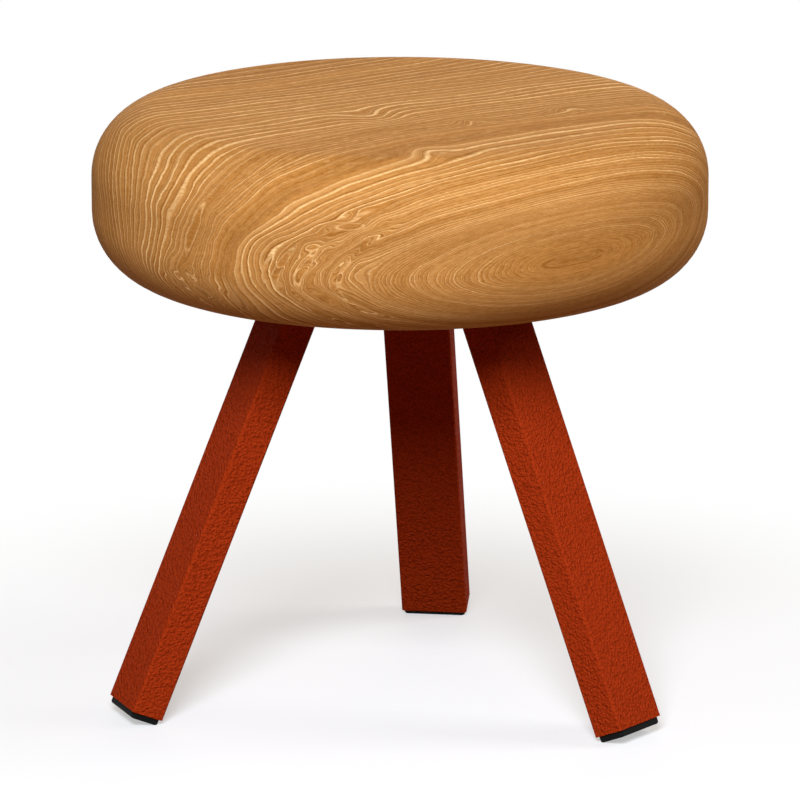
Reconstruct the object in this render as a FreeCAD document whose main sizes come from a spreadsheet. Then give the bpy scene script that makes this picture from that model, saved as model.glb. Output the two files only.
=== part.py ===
"""Low stool: a thick turned wooden seat on three splayed legs of rectangular steel tube.

Frame: millimetres and degrees, +Z up, origin on the floor under the middle of the seat, +Y to the back leg.
"""
import FreeCAD, Part
import os
import re
import Sketcher

# Driving dimensions, each with what it measures.
SIZES = {
    "seat_height": (353, "floor to the top of the seat"),
    "seat_diameter": (360, "widest part of the seat"),
    "seat_thickness": (100, "underside to top"),
    "seat_side": (20, "straight band between the two rounded edges"),
    "leg_tilt": (23, "lean of a leg from upright"),
    "tube_width": (40, "tube along the rim of the seat"),
    "tube_depth": (20, "tube from its inner to its outer face"),
    "tube_wall": (2, "wall of the tube"),
    "tube_corner": (1.5, "rounding of the tube's outer corners"),
    "plate_thickness": (5, "plate on top of a leg"),
    "plate_margin": (5, "plate left round the washers"),
    "plate_corner": (8, "rounding of the plate's corners"),
    "plate_gap": (16.5, "between the nearest corners of two plates"),
    "weld_size": (3.5, "side of the fillet weld round a tube"),
    "weld_toe": (0.4, "width of the weld at its lower end"),
    "screw_thread": (6, "outside of the screw's thread"),
    "screw_grip": (9.4, "length of a screw above its plate"),
    "screw_tip": (0.8, "chamfer at the end of a screw"),
    "screw_spread": (36, "between the inner and outer pair of a leg's screws"),
    "screw_gap": (4.5, "between the weld and the washers"),
    "screw_clearance": (0.3, "round a screw in its plate"),
    "head_width": (10.5, "screw's button head"),
    "head_height": (3.3, "screw's button head"),
    "head_round": (2.2, "rounding of the button head"),
    "socket_width": (4, "hexagon socket across its flats"),
    "socket_depth": (2, "hexagon socket"),
    "washer_width": (12, "outside of a washer"),
    "washer_thickness": (1.6, "washer"),
    "washer_clearance": (0.2, "round a screw in its washer"),
    "insert_width": (10, "outside of a threaded insert"),
    "insert_length": (13, "threaded insert"),
    "insert_rim": (1.6, "plain end of an insert"),
    "insert_groove": (0.7, "depth of the grooves outside an insert"),
    "insert_clearance": (0.05, "round an insert in the seat"),
    "thread_clearance": (0.05, "round a screw in its insert"),
    "bore_extra": (2, "depth drilled past the end of an insert"),
    "plug_inset": (1.2, "step from the tube's faces in to the plug's head"),
    "plug_head": (4, "thickness of the plug's head"),
    "plug_corner": (2.5, "rounding of the head's upright corners"),
    "plug_edge": (1.5, "rounding of the head's lower edge"),
    "plug_length": (18, "part of the plug inside the tube"),
    "plug_wall": (1.6, "wall of that part"),
    "plug_clearance": (0.1, "round the fins in the tube"),
    "fin_depth": (1.2, "how far the fins stand out"),
    "fin_thickness": (1.5, "fin"),
    "fin_pitch": (5, "from one fin to the next"),
    "fin_start": (3, "tube's end to the first fin"),
    "floor_flat": (0.3, "depth of the flat that the floor leaves on a plug"),
}

LEG_NAMES = ("back", "left", "right")
BACK_LEG_ANGLE = 90
ANGLE_BETWEEN_LEGS = 360 / len(LEG_NAMES)
FIN_COUNT = 3
GROOVE_COUNT = 5
LEVEL_TOLERANCE = 1e-6

# Sizes that follow from the driving ones, as expressions.
SEAT_ROUND = "(seat_thickness - seat_side) / 2"
PLATE_FACE = "(seat_height - seat_thickness - plate_thickness)"
SCREW_REACH = "(tube_width / 2 + weld_size + screw_gap + washer_width / 2)"
PLATE_LENGTH = f"(2 * {SCREW_REACH} + washer_width + 2 * plate_margin)"
PLATE_WIDTH = "(screw_spread + washer_width + 2 * plate_margin)"
PLATE_INNER_EDGE = f"(plate_gap + {PLATE_LENGTH} / 2) / (2 * sin({ANGLE_BETWEEN_LEGS} / 2))"
LEG_TOP_RADIUS = f"({PLATE_INNER_EDGE} + {PLATE_WIDTH} / 2)"
PLUG_ROUND_OFF = "plug_edge * (cos(leg_tilt) + sin(leg_tilt) - 1)"
TUBE_END_HEIGHT = (
    "(plug_head * cos(leg_tilt) + (tube_depth / 2 - plug_inset) * sin(leg_tilt)"
    f" - {PLUG_ROUND_OFF} - floor_flat)"
)
LEG_RISE = f"({PLATE_FACE} - {TUBE_END_HEIGHT})"
LEG_FOOT_RADIUS = f"({LEG_TOP_RADIUS} + {LEG_RISE} * tan(leg_tilt))"
TUBE_BORE_WIDTH = "(tube_width - 2 * tube_wall)"
TUBE_BORE_DEPTH = "(tube_depth - 2 * tube_wall)"
SCREW_HEAD_FACE = "(-washer_thickness - head_height)"

doc = FreeCAD.newDocument("stool")
sheet = doc.addObject("Spreadsheet::Sheet", "sizes")
for row, (alias, (size, note)) in enumerate(SIZES.items(), start=1):
    sheet.set(f"A{row}", alias)
    sheet.set(f"B{row}", str(size))
    sheet.set(f"C{row}", note)
    sheet.setAlias(f"B{row}", alias)
doc.recompute()


def sized(text):
    """Point each size named in an expression at its cell of the sheet."""
    return re.sub(r"[a-z_]+", lambda word: f"sizes.{word[0]}" if word[0] in SIZES else word[0], text)


def value(text):
    """Work an expression out with the sheet's present numbers."""
    return float(sheet.evalExpression(sized(text)))


def bind(thing, path, text):
    thing.setExpression(path, sized(text))


def new_body(label, azimuth=0, place=("0", "0", "0"), lean="0"):
    """Start a piece at a place on the leg's side of the stool, turned to the leg's azimuth."""
    body = doc.addObject("PartDesign::Body", label)
    body.Label = label
    turn = f"placement(vector(0; 0; 0); rotation(vector(0; 0; 1); {azimuth}))"
    stand = f"placement(vector({'; '.join(place)}); rotation(vector(0; 1; 0); -{lean}))"
    bind(body, "Placement", f"{turn} * {stand}")
    return body


def at_foot(label, azimuth):
    """Start a piece in the leg's own frame: origin at the tube's lower end, +Z up the leg, +X outwards."""
    return new_body(label, azimuth, (LEG_FOOT_RADIUS, "0", TUBE_END_HEIGHT), "leg_tilt")


def at_plate(label, azimuth):
    """Start a piece in the plate's frame: origin where the leg's axis meets its lower face, +X outwards."""
    return new_body(label, azimuth, (LEG_TOP_RADIUS, "0", PLATE_FACE))


def origin_part(body, role):
    return next(part for part in body.Origin.OriginFeatures if part.Role == role)


def new_sketch(body, plane, name, shift=("0", "0", "0")):
    """Start a sketch on one of the body's planes, shifted along the sketch's own axes."""
    sketch = body.newObject("Sketcher::SketchObject", name)
    sketch.AttachmentSupport = [(origin_part(body, plane), "")]
    sketch.MapMode = "FlatFace"
    for axis, text in zip("xyz", shift):
        bind(sketch, f"AttachmentOffset.Base.{axis}", text)
    doc.recompute()
    return sketch


def hold(sketch, geometry, point, x, y):
    """Tie a point of a sketch to its two distances from the sketch's origin.

    A sketch numbers its level axis -1, with the origin as that axis's point 1, and its upright axis -2.
    A line has its start as point 1 and its end as point 2, and a circle has its centre as point 3.
    """
    for kind, axis, text in (("DistanceX", -2, x), ("DistanceY", -1, y)):
        if text == "0":
            sketch.addConstraint(Sketcher.Constraint("PointOnObject", geometry, point, axis))
        else:
            distance = Sketcher.Constraint(kind, -1, 1, geometry, point, value(text))
            bind(sketch, f"Constraints[{sketch.addConstraint(distance)}]", text)


def outline(sketch, corners):
    """Draw a closed outline of straight lines through corners given as expressions."""
    points = [FreeCAD.Vector(value(x), value(y), 0) for x, y in corners]
    first = sketch.GeometryCount
    for start, end in zip(points, points[1:] + points[:1]):
        sketch.addGeometry(Part.LineSegment(start, end), False)
    for index, (x, y) in enumerate(corners):
        line_before = first + (index - 1) % len(corners)
        sketch.addConstraint(Sketcher.Constraint("Coincident", line_before, 2, first + index, 1))
        hold(sketch, first + index, 1, x, y)


def rectangle(sketch, x_size, y_size, x_centre="0"):
    left = f"{x_centre} - ({x_size}) / 2"
    right = f"{x_centre} + ({x_size}) / 2"
    near = f"-({y_size}) / 2"
    far = f"({y_size}) / 2"
    outline(sketch, [(left, near), (right, near), (right, far), (left, far)])


def circle(sketch, diameter, x="0", y="0"):
    centre = FreeCAD.Vector(value(x), value(y), 0)
    ring = sketch.addGeometry(Part.Circle(centre, FreeCAD.Vector(0, 0, 1), value(diameter) / 2), False)
    hold(sketch, ring, 3, x, y)
    constraint = sketch.addConstraint(Sketcher.Constraint("Diameter", ring, value(diameter)))
    bind(sketch, f"Constraints[{constraint}]", diameter)


def feature(body, kind, name, bound, **settings):
    """Add a feature to a body, with its plain settings and with its sizes bound to the sheet."""
    added = body.newObject(f"PartDesign::{kind}", name)
    for setting, choice in settings.items():
        setattr(added, setting, choice)
    for size, text in bound.items():
        bind(added, size, text)
    body.Tip = added
    doc.recompute()
    return added


def edges_at_height(shape, z):
    """Name the edges that lie level at a height."""
    return [
        f"Edge{number}"
        for number, edge in enumerate(shape.Edges, start=1)
        if max(abs(edge.BoundBox.ZMin - z), abs(edge.BoundBox.ZMax - z)) < LEVEL_TOLERANCE
    ]


def edges_along_z(shape):
    """Name the straight edges that run along Z."""
    return [
        f"Edge{number}"
        for number, edge in enumerate(shape.Edges, start=1)
        if max(edge.BoundBox.XLength, edge.BoundBox.YLength) < LEVEL_TOLERANCE
    ]


def round_edges(body, base, name, radius, edges):
    return feature(body, "Fillet", name, {"Radius": radius}, Base=(base, edges))


def turned(body, name, half_view):
    """Turn a half view round the sketch's own upright axis."""
    axis = (half_view, ["V_Axis"])
    return feature(body, "Revolution", name, {}, Profile=half_view, ReferenceAxis=axis, Angle=360)


def first_screw(level="0"):
    """Place of a leg's first screw in the plate's frame, for a sketch that lies level."""
    return ("-screw_spread / 2", f"-{SCREW_REACH}", level)


def first_screw_upright():
    """The same place for a sketch that stands upright through the screw's axis."""
    return ("-screw_spread / 2", "0", SCREW_REACH)


def at_four_screws(body, tip, name, mode):
    """Repeat a feature, or the whole piece, at the four screws of a leg."""
    return feature(
        body,
        "LinearPattern",
        name,
        {"Length": "screw_spread", "Length2": f"2 * {SCREW_REACH}"},
        Originals=[tip],
        TransformMode=mode,
        Direction=(origin_part(body, "X_Axis"), [""]),
        Occurrences=2,
        Direction2=(origin_part(body, "Y_Axis"), [""]),
        Occurrences2=2,
    )


def make_seat():
    """Slab with both edges rounded, bored from below for the inserts of all three legs."""
    body = new_body("seat", place=("0", "0", "seat_height - seat_thickness"))
    round_sketch = new_sketch(body, "XY_Plane", "seat_round")
    circle(round_sketch, "seat_diameter")
    slab = feature(body, "Pad", "seat_slab", {"Length": "seat_thickness"}, Profile=round_sketch)
    rims = edges_at_height(slab.Shape, 0) + edges_at_height(slab.Shape, value("seat_thickness"))
    round_edges(body, slab, "seat_edges", SEAT_ROUND, rims)
    bore_sketch = new_sketch(body, "XY_Plane", "seat_bore_places")
    for side in ("-", ""):
        for row in ("-", "+"):
            place = (f"{side}{SCREW_REACH}", f"{LEG_TOP_RADIUS} {row} screw_spread / 2")
            circle(bore_sketch, "insert_width + 2 * insert_clearance", *place)
    bore_depth = {"Length": "insert_length + bore_extra"}
    bores = feature(body, "Pocket", "seat_bores", bore_depth, Profile=bore_sketch, Reversed=True)
    feature(
        body,
        "PolarPattern",
        "seat_bores_of_all_legs",
        {},
        Originals=[bores],
        Axis=(origin_part(body, "Z_Axis"), [""]),
        Angle=360,
        Occurrences=len(LEG_NAMES),
    )
    return body


def make_tube(leg, azimuth):
    """Rectangular tube, square at the foot and cut level at the top."""
    body = at_foot(f"{leg}_leg_tube", azimuth)
    side_view = new_sketch(body, "XZ_Plane", f"{leg}_tube_side")
    length = f"{LEG_RISE} / cos(leg_tilt)"
    slant = "tube_depth / 2 * tan(leg_tilt)"
    outline(
        side_view,
        [
            ("-tube_depth / 2", "0"),
            ("tube_depth / 2", "0"),
            ("tube_depth / 2", f"{length} - {slant}"),
            ("-tube_depth / 2", f"{length} + {slant}"),
        ],
    )
    bar_width = {"Length": "tube_width"}
    bar = feature(body, "Pad", f"{leg}_tube_bar", bar_width, Profile=side_view, SideType="Symmetric")
    round_edges(body, bar, f"{leg}_tube_corners", "tube_corner", edges_along_z(bar.Shape))
    bore = new_sketch(body, "XY_Plane", f"{leg}_tube_bore")
    rectangle(bore, TUBE_BORE_DEPTH, TUBE_BORE_WIDTH)
    feature(body, "Pocket", f"{leg}_tube_hollow", {}, Profile=bore, Type="ThroughAll", Reversed=True)
    return body


def make_plate(leg, azimuth):
    """Flat plate between the leg and the seat, with a hole for each screw."""
    body = at_plate(f"{leg}_leg_plate", azimuth)
    blank = new_sketch(body, "XY_Plane", f"{leg}_plate_blank")
    rectangle(blank, PLATE_WIDTH, PLATE_LENGTH)
    slab = feature(body, "Pad", f"{leg}_plate_slab", {"Length": "plate_thickness"}, Profile=blank)
    round_edges(body, slab, f"{leg}_plate_corners", "plate_corner", edges_along_z(slab.Shape))
    place = new_sketch(body, "XY_Plane", f"{leg}_plate_hole_place", first_screw())
    circle(place, "screw_thread + 2 * screw_clearance")
    hole = feature(body, "Pocket", f"{leg}_plate_hole", {}, Profile=place, Type="ThroughAll", Reversed=True)
    at_four_screws(body, hole, f"{leg}_plate_holes", "Features")
    return body


def make_weld(leg, azimuth):
    """Fillet weld round the tube's top, with the leaning tube cut out of it."""
    body = at_plate(f"{leg}_leg_weld", azimuth)
    sections = {}
    for name, drop, margin in (
        ("top", "0", "weld_size"),
        ("toe", "weld_size", "weld_toe"),
        ("tube_above", "-weld_size", "0"),
        ("tube_below", "(2 * weld_size)", "0"),
    ):
        section = new_sketch(body, "XY_Plane", f"{leg}_weld_{name}", ("0", "0", f"-{drop}"))
        x_size = f"tube_depth / cos(leg_tilt) + 2 * {margin}"
        rectangle(section, x_size, f"tube_width + 2 * {margin}", f"({drop} * tan(leg_tilt))")
        sections[name] = section
    for kind, name, start, end in (
        ("AdditiveLoft", "bead", "top", "toe"),
        ("SubtractiveLoft", "opening", "tube_above", "tube_below"),
    ):
        name = f"{leg}_weld_{name}"
        feature(body, kind, name, {}, Profile=sections[start], Sections=[sections[end]], Ruled=True)
    return body


def make_plug(leg, azimuth):
    """Plastic plug: a head below the tube's end, a hollow stem with fins in the bore, a flat on the floor."""
    body = at_foot(f"{leg}_foot_plug", azimuth)
    head_outline = new_sketch(body, "XY_Plane", f"{leg}_plug_head_outline")
    rectangle(head_outline, "tube_depth - 2 * plug_inset", "tube_width - 2 * plug_inset")
    head_thickness = {"Length": "plug_head"}
    head = feature(body, "Pad", f"{leg}_plug_head", head_thickness, Profile=head_outline, Reversed=True)
    corners = round_edges(body, head, f"{leg}_plug_corners", "plug_corner", edges_along_z(head.Shape))
    lower_edges = edges_at_height(corners.Shape, -value("plug_head"))
    round_edges(body, corners, f"{leg}_plug_lower_edge", "plug_edge", lower_edges)

    stem_outline = new_sketch(body, "XY_Plane", f"{leg}_plug_stem_outline")
    fin_outline = new_sketch(body, "XY_Plane", f"{leg}_plug_fin_outline", ("0", "0", "fin_start"))
    stem_inset = "2 * (plug_clearance + fin_depth)"
    hollow_inset = "2 * (plug_clearance + fin_depth + plug_wall)"
    for sketch, inset in (
        (stem_outline, stem_inset),
        (stem_outline, hollow_inset),
        (fin_outline, "2 * plug_clearance"),
        (fin_outline, hollow_inset),
    ):
        rectangle(sketch, f"{TUBE_BORE_DEPTH} - {inset}", f"{TUBE_BORE_WIDTH} - {inset}")
    feature(body, "Pad", f"{leg}_plug_stem", {"Length": "plug_length"}, Profile=stem_outline)
    fin = feature(body, "Pad", f"{leg}_plug_fin", {"Length": "fin_thickness"}, Profile=fin_outline)
    feature(
        body,
        "LinearPattern",
        f"{leg}_plug_fins",
        {"Length": f"fin_pitch * {FIN_COUNT - 1}"},
        Originals=[fin],
        Direction=(origin_part(body, "Z_Axis"), [""]),
        Occurrences=FIN_COUNT,
    )

    below_floor = new_sketch(body, "XZ_Plane", f"{leg}_plug_below_floor")
    floor_inside = f"(tube_depth / 2 * sin(leg_tilt) - {TUBE_END_HEIGHT}) / cos(leg_tilt)"
    floor_outside = f"(-tube_depth / 2 * sin(leg_tilt) - {TUBE_END_HEIGHT}) / cos(leg_tilt)"
    outline(
        below_floor,
        [
            ("-tube_depth / 2", floor_inside),
            ("-tube_depth / 2", floor_outside),
            ("tube_depth / 2", floor_outside),
        ],
    )
    flat_width = {"Length": "tube_width"}
    feature(body, "Pocket", f"{leg}_plug_flat", flat_width, Profile=below_floor, SideType="Symmetric")
    return body


def make_screws(leg, azimuth):
    """Four button-head screws, turned to shape and given a hexagon socket."""
    body = at_plate(f"{leg}_leg_screws", azimuth)
    half_view = new_sketch(body, "XZ_Plane", f"{leg}_screw_half", first_screw_upright())
    end = "plate_thickness + screw_grip"
    outline(
        half_view,
        [
            ("0", SCREW_HEAD_FACE),
            ("head_width / 2", SCREW_HEAD_FACE),
            ("head_width / 2", "-washer_thickness"),
            ("screw_thread / 2", "-washer_thickness"),
            ("screw_thread / 2", f"{end} - screw_tip"),
            ("screw_thread / 2 - screw_tip", end),
            ("0", end),
        ],
    )
    screw = turned(body, f"{leg}_screw", half_view)
    head_rim = edges_at_height(screw.Shape, value(SCREW_HEAD_FACE))
    round_edges(body, screw, f"{leg}_screw_button", "head_round", head_rim)
    hexagon = new_sketch(body, "XY_Plane", f"{leg}_screw_hexagon", first_screw(SCREW_HEAD_FACE))
    point = "socket_width / sqrt(3)"
    half_point = f"{point} / 2"
    flat = "socket_width / 2"
    outline(
        hexagon,
        [
            (point, "0"),
            (half_point, flat),
            (f"-{half_point}", flat),
            (f"-{point}", "0"),
            (f"-{half_point}", f"-{flat}"),
            (half_point, f"-{flat}"),
        ],
    )
    depth = {"Length": "socket_depth"}
    socket = feature(body, "Pocket", f"{leg}_screw_socket", depth, Profile=hexagon, Reversed=True)
    at_four_screws(body, socket, f"{leg}_screw_set", "Whole shape")
    return body


def make_washers(leg, azimuth):
    """Four flat washers between the screws' heads and the plate."""
    body = at_plate(f"{leg}_leg_washers", azimuth)
    ring = new_sketch(body, "XY_Plane", f"{leg}_washer_ring", first_screw())
    circle(ring, "washer_width")
    circle(ring, "screw_thread + 2 * washer_clearance")
    thickness = {"Length": "washer_thickness"}
    washer = feature(body, "Pad", f"{leg}_washer", thickness, Profile=ring, Reversed=True)
    at_four_screws(body, washer, f"{leg}_washer_set", "Whole shape")
    return body


def make_inserts(leg, azimuth):
    """Four threaded inserts, grooved outside to grip the wood, flush with the seat's underside."""
    body = at_plate(f"{leg}_seat_inserts", azimuth)
    half_view = new_sketch(body, "XZ_Plane", f"{leg}_insert_half", first_screw_upright())
    inside = "screw_thread / 2 + thread_clearance"
    outside = "insert_width / 2"
    foot = "plate_thickness"
    pitch = f"(insert_length - insert_rim) / {GROOVE_COUNT}"
    corners = [(inside, foot), (outside, foot), (outside, f"{foot} + insert_rim")]
    for groove in range(GROOVE_COUNT):
        corners.append((f"{outside} - insert_groove", f"{foot} + insert_rim + {groove + 0.5} * {pitch}"))
        corners.append((outside, f"{foot} + insert_rim + {groove + 1} * {pitch}"))
    corners.append((inside, f"{foot} + insert_length"))
    outline(half_view, corners)
    insert = turned(body, f"{leg}_insert", half_view)
    at_four_screws(body, insert, f"{leg}_insert_set", "Whole shape")
    return body


def check(bodies):
    """Stop if any feature failed or any piece isn't a sound solid."""
    failed = [thing.Name for thing in doc.Objects if {"Invalid", "Error"} & set(thing.State)]
    unsound = [body.Label for body in bodies if body.Shape.isNull() or not body.Shape.isValid()]
    if failed or unsound:
        raise SystemExit(f"failed features {failed}, unsound pieces {unsound}")


def main():
    bodies = [make_seat()]
    for index, leg in enumerate(LEG_NAMES):
        azimuth = BACK_LEG_ANGLE + index * ANGLE_BETWEEN_LEGS
        for make in (make_tube, make_plate, make_weld, make_plug, make_screws, make_washers, make_inserts):
            bodies.append(make(leg, azimuth))
    doc.recompute()
    check(bodies)
    os.makedirs("parts", exist_ok=True)
    for body in bodies:
        body.Shape.exportStep(f"parts/{body.Label}.step")
        print(f"{body.Label}: {len(body.Shape.Solids)} solids, {body.Shape.Volume:.1f} mm3")


main()
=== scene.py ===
# %% [markdown]
# # A wooden stool on three steel legs
# The stool is a thick slab of elm, turned round and oiled, on three splayed legs of powder-coated steel
# tube with black plugs in their ends. Its solids come from CAD at their real size and stay where they
# are: this notebook gives each of them its finish, adds what the solids leave plain, and sets up the
# picture.

# %% Load the solids
import math

import bmesh
import bpy
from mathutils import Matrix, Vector


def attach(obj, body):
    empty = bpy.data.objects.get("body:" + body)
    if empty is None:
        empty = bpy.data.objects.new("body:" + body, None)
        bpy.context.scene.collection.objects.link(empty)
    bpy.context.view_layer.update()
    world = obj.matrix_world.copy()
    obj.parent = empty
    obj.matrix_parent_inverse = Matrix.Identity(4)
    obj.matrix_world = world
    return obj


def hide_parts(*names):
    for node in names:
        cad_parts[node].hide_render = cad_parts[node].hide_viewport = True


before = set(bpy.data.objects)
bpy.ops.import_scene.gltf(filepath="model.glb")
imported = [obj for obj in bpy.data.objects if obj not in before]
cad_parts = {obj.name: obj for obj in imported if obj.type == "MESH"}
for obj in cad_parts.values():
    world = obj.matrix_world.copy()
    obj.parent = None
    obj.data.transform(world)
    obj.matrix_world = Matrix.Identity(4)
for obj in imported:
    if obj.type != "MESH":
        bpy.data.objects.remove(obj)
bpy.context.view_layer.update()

# %% [markdown]
# ## Units, colours and nodes
# Blender works in metres here, so sizes that are easier to think of in millimetres are multiplied by
# `MM`. Colours are picked as sRGB hex values, the way a colour picker shows them, but a shader wants
# linear light, so one function turns them. One more adds a node to a material: it takes the kind of
# node, what goes into its sockets (numbers or other nodes) and its settings, which keeps a long chain
# of nodes readable.

# %% Helpers
MM = 0.001
LEGS = ("back", "left", "right")


def linear(hex_colour):
    """Linear RGBA of an sRGB hex colour such as #C08A48."""
    channels = [int(hex_colour[start:start + 2], 16) / 255 for start in (1, 3, 5)]
    return [c / 12.92 if c <= 0.04045 else ((c + 0.055) / 1.055) ** 2.4 for c in channels] + [1.0]


def add_node(tree, kind, inputs=None, **settings):
    """Add a node with its settings, and fill its sockets with values or with other nodes."""
    node = tree.nodes.new(f"ShaderNode{kind}")
    for setting, choice in settings.items():
        setattr(node, setting, choice)
    for socket, source in (inputs or {}).items():
        if isinstance(source, bpy.types.Node):
            source = source.outputs[0]
        if isinstance(source, bpy.types.NodeSocket):
            tree.links.new(source, node.inputs[socket])
        else:
            node.inputs[socket].default_value = source
    return node


def new_material(name):
    """Start a material with one Principled surface, and return it, its tree and that surface."""
    material = bpy.data.materials.new(name)
    material.use_nodes = True
    tree = material.node_tree
    tree.nodes.clear()
    surface = add_node(tree, "BsdfPrincipled")
    add_node(tree, "OutputMaterial", {"Surface": surface})
    return material, tree, surface


print("helpers ready")

# %% [markdown]
# ## The camera
# The photograph was taken from a little above the seat with a long lens, which keeps the legs nearly
# parallel. The camera stands slightly to the right of the stool's front, so the back leg shows between
# the other two. Distance and lens were worked out from the outline of the seat and the corners of the
# legs.

# %% Camera
PICTURE_PIXELS = 800
FOCAL_PIXELS = 7044
VIEW_AZIMUTH = math.radians(7.636)
VIEW_ELEVATION = math.radians(14.095)
VIEW_DISTANCE = 4144.6 * MM
AIM = Vector((0, 0, 176.1 * MM))


def towards(azimuth, elevation):
    """Direction at an azimuth, counted from the front of the stool to its right, and an elevation."""
    level = math.cos(elevation)
    return Vector((math.sin(azimuth) * level, -math.cos(azimuth) * level, math.sin(elevation)))


camera_data = bpy.data.cameras.new("view")
camera_data.sensor_width = 36
camera_data.lens = camera_data.sensor_width * FOCAL_PIXELS / PICTURE_PIXELS
camera = bpy.data.objects.new("view", camera_data)
to_camera = towards(VIEW_AZIMUTH, VIEW_ELEVATION)
camera.location = AIM + to_camera * VIEW_DISTANCE
camera.rotation_euler = (-to_camera).to_track_quat("-Z", "Y").to_euler()
bpy.context.scene.collection.objects.link(camera)
bpy.context.scene.camera = camera
bpy.context.scene.view_settings.view_transform = "Standard"
print("lens", round(camera_data.lens, 1), "mm from", [round(x, 3) for x in camera.location])

# %% [markdown]
# ## Floor and light
# A pale studio floor takes the stool's soft shadow and fades to white further out, so that no horizon
# shows. The fade follows the distance from the stool, not the camera, so it looks the same from every
# side. Seen from below the floor is left out, because the underside of a stool is worth a look too.

# %% Floor
FLOOR_RADIUS = 12.0
FLOOR_CORNERS = 96
# The floor turns white between these distances in metres, and under the stool it is this white already.
FADE_START, FADE_END = 0.12, 0.5
FADE_LEAST = 0.45
# The camera sees a pale floor, but the light that it throws back is weaker and warm.
# That keeps the underside in shade.
FLOOR_COLOUR = "#F7F6F4"
FLOOR_BOUNCE = "#7A5A42"


def add_seen_rays(tree):
    """One for a ray that shows the background, straight or in a reflection, and nought for light."""
    rays = add_node(tree, "LightPath")
    seen = add_node(
        tree,
        "Math",
        {0: rays.outputs["Is Camera Ray"], 1: rays.outputs["Is Glossy Ray"]},
        operation="MAXIMUM",
    )
    return add_node(tree, "Math", {0: seen, 1: rays.outputs["Is Transmission Ray"]}, operation="MAXIMUM")


def make_floor():
    """A round plane under the stool with a material that fades from lit floor to plain white."""
    material, tree, surface = new_material("studio_floor_paint")
    surface.inputs["Roughness"].default_value = 0.9
    surface.inputs["Specular IOR Level"].default_value = 0.0
    place = add_node(tree, "TexCoord")
    distance = add_node(tree, "VectorMath", {0: place.outputs["Object"]}, operation="LENGTH")
    fade = add_node(
        tree,
        "MapRange",
        {
            "Value": distance.outputs["Value"],
            "From Min": FADE_START,
            "From Max": FADE_END,
            "To Min": FADE_LEAST,
        },
        interpolation_type="SMOOTHSTEP",
    )
    seen = add_seen_rays(tree)
    share = add_node(tree, "Math", {0: fade, 1: seen}, operation="MULTIPLY")
    colour = add_node(
        tree, "Mix", {0: seen, 6: linear(FLOOR_BOUNCE), 7: linear(FLOOR_COLOUR)}, data_type="RGBA"
    )
    tree.links.new(colour.outputs[2], surface.inputs["Base Color"])
    white = add_node(tree, "Emission", {"Color": (1, 1, 1, 1), "Strength": 1.0})
    faded = add_node(tree, "MixShader", {0: share, 1: surface, 2: white})
    side = add_node(tree, "NewGeometry")
    clear = add_node(tree, "BsdfTransparent")
    one_sided = add_node(tree, "MixShader", {0: side.outputs["Backfacing"], 1: faded, 2: clear})
    output = next(node for node in tree.nodes if node.type == "OUTPUT_MATERIAL")
    tree.links.new(one_sided.outputs[0], output.inputs["Surface"])

    outline = bmesh.new()
    bmesh.ops.create_circle(outline, cap_ends=True, segments=FLOOR_CORNERS, radius=FLOOR_RADIUS)
    mesh = bpy.data.meshes.new("studio_floor")
    outline.to_mesh(mesh)
    outline.free()
    mesh.materials.append(material)
    floor = bpy.data.objects.new("studio_floor", mesh)
    bpy.context.scene.collection.objects.link(floor)
    return floor


floor = make_floor()
print("floor radius", FLOOR_RADIUS, "m")

# %% [markdown]
# The light is that of a product studio. One large, slightly cool soft box stands in front of the stool
# and above it, so that the rounded front edge is brightest and the lower edge falls into shade. Weaker
# ones on both sides and low behind keep the other views from going black. A weak, warm, even light from
# all round stands for the walls of the room and gives the shade its warmth.

# %% Lamps
LAMP_TARGET = Vector((0, 0, 250 * MM))
LAMPS = {
    # name: azimuth and elevation in degrees, distance and size in metres, watts, colour
    "front": (-6, 34, 2.2, 0.8, 69, "#EAF2FF"),
    "right_side": (92, 30, 2.2, 1.0, 17, "#FFFFFF"),
    "left_side": (-95, 20, 2.2, 1.0, 2, "#FFF1DC"),
    "back": (180, 12, 2.2, 1.4, 15, "#FFF1DC"),
}
ROOM_LIGHT = 0.14
ROOM_COLOUR = "#FFCFA0"


def make_lamp(name, azimuth, elevation, distance, size, watts, colour):
    """A square soft box that faces the seat."""
    data = bpy.data.lights.new(name, "AREA")
    data.size = size
    data.energy = watts
    data.color = linear(colour)[:3]
    lamp = bpy.data.objects.new(name, data)
    direction = towards(math.radians(azimuth) + VIEW_AZIMUTH, math.radians(elevation))
    lamp.location = LAMP_TARGET + direction * distance
    lamp.rotation_euler = (-direction).to_track_quat("-Z", "Y").to_euler()
    bpy.context.scene.collection.objects.link(lamp)


def make_room():
    """A warm room for the light, and plain white where the camera or a reflection looks past the floor."""
    world = bpy.data.worlds.new("studio_room")
    world.use_nodes = True
    tree = world.node_tree
    tree.nodes.clear()
    seen = add_seen_rays(tree)
    room = add_node(tree, "Background", {"Color": linear(ROOM_COLOUR), "Strength": ROOM_LIGHT})
    white = add_node(tree, "Background", {"Color": (1, 1, 1, 1), "Strength": 1.0})
    mixed = add_node(tree, "MixShader", {0: seen, 1: room, 2: white})
    add_node(tree, "OutputWorld", {"Surface": mixed})
    bpy.context.scene.world = world


for lamp_name, lamp_values in LAMPS.items():
    make_lamp(lamp_name, *lamp_values)
make_room()
print("lamps:", ", ".join(LAMPS))

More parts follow.
